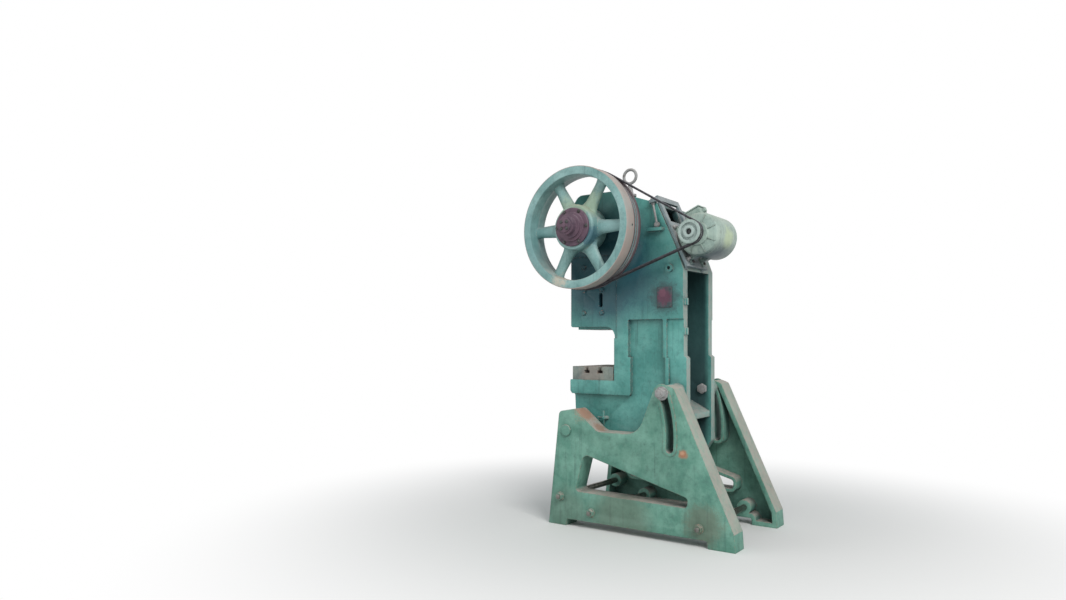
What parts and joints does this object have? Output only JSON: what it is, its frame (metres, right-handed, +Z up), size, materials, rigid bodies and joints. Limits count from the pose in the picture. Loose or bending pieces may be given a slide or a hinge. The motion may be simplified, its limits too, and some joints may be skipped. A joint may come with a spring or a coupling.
{
  "type": "mechanical stamping press",
  "caption": "Open-back inclinable C-frame mechanical press on two leg castings, with spoked flywheel, crank-driven slide, bolster with T-slots and a belt-drive motor at the rear.",
  "frame": {"origin": "on the floor, in the middle of the four anchor bolt holes of the legs", "axes": "+X across the machine towards the flywheel, +Y from the operator's front to the motor side, +Z up"},
  "size_m": [1.0668, 1.4754, 2.394],
  "materials": {
    "press_green": "worn",
    "wheel_green": "worn",
    "motor_cream": "worn",
    "machined_steel": "oily",
    "black_steel": "dull",
    "bronze": "oily",
    "rusty_iron": "rusty",
    "belt_rubber": "dusty",
    "bolster_cream": "worn",
    "lining": "matte"
  },
  "bodies": {
    "stand": {"leg_right": "press_green", "leg_left": "press_green", "leg_tie_rods": "machined_steel", "tie_rod_nuts": "press_green", "pivot_pins": "press_green"},
    "frame": {"frame": "press_green", "tilt_clamp_bolts": "black_steel", "bearing_caps": "press_green", "bearing_cap_bolts": "black_steel", "main_bushes": "bronze", "bolster": "bolster_cream", "bolster_bolts": "black_steel", "gibs": "machined_steel", "gib_bolts": "black_steel", "side_cover": "rusty_iron", "rear_lugs": "press_green", "drain_cock": "bronze", "lifting_eye": "press_green", "grease_cups": "black_steel", "brake_lining": "lining", "brake_band": "machined_steel", "brake_bracket": "press_green", "motor_brackets": "press_green", "motor_plate": "press_green", "plate_studs": "black_steel", "belt_adjusters": "machined_steel", "motor_body": "motor_cream", "end_shields": "motor_cream", "terminal_box": "motor_cream", "motor_feet_bolts": "black_steel", "v_belts": "belt_rubber"},
    "crank": {"crankshaft": "machined_steel", "clutch_collar": "black_steel", "crank_end_nut": "black_steel", "brake_drum": "rusty_iron"},
    "rod": {"connecting_rod": "machined_steel", "rod_cap": "machined_steel", "rod_bolts": "black_steel", "rod_bush": "bronze", "lock_nut": "black_steel"},
    "screw": {"adjusting_screw": "machined_steel"},
    "ram": {"slide": "press_green", "ball_seat": "bronze", "shank_screw": "black_steel"},
    "wheel": {"flywheel": "wheel_green", "flywheel_bushes": "bronze", "hub_cap": "rusty_iron", "hub_cap_bolts": "black_steel"},
    "rotor": {"motor_shaft": "machined_steel", "motor_pulley": "motor_cream"},
    "cock": {"cock_handle": "black_steel"}
  },
  "joints": [
    {"name": "frame_tilt", "type": "hinge", "parent": "stand", "child": "frame", "pos_m": [0, -0.508, 0.625], "axis": [-1, 0, 0], "range_deg": [0, 25]},
    {"name": "crank_turn", "type": "hinge", "parent": "frame", "child": "crank", "pos_m": [0, -0.43, 1.948], "axis": [1, 0, 0], "continuous": true},
    {"name": "rod_swing", "type": "hinge", "parent": "crank", "child": "rod", "pos_m": [0, -0.43, 1.998], "axis": [1, 0, 0], "continuous": true},
    {"name": "shut_height", "type": "slide", "parent": "rod", "child": "screw", "axis": [0, 0, -1], "range_m": [0, 0.04]},
    {"name": "slide_stroke", "type": "slide", "parent": "frame", "child": "ram", "axis": [0, 0, -1], "range_m": [0, 0.1]},
    {"name": "flywheel_spin", "type": "hinge", "parent": "frame", "child": "wheel", "pos_m": [0.376, -0.43, 1.948], "axis": [1, 0, 0], "continuous": true},
    {"name": "rotor_spin", "type": "hinge", "parent": "frame", "child": "rotor", "pos_m": [0.324, 0.32925, 1.86865], "axis": [1, 0, 0], "continuous": true},
    {"name": "cock_turn", "type": "hinge", "parent": "frame", "child": "cock", "pos_m": [0.248, -0.33, 0.7], "axis": [1, 0, 0], "range_deg": [0, 90]}
  ],
  "couplings": [
    {"joint": "rod_swing", "follows": "crank_turn", "ratio": -1},
    {"joint": "rotor_spin", "follows": "flywheel_spin", "ratio": 5.6857}
  ]
}
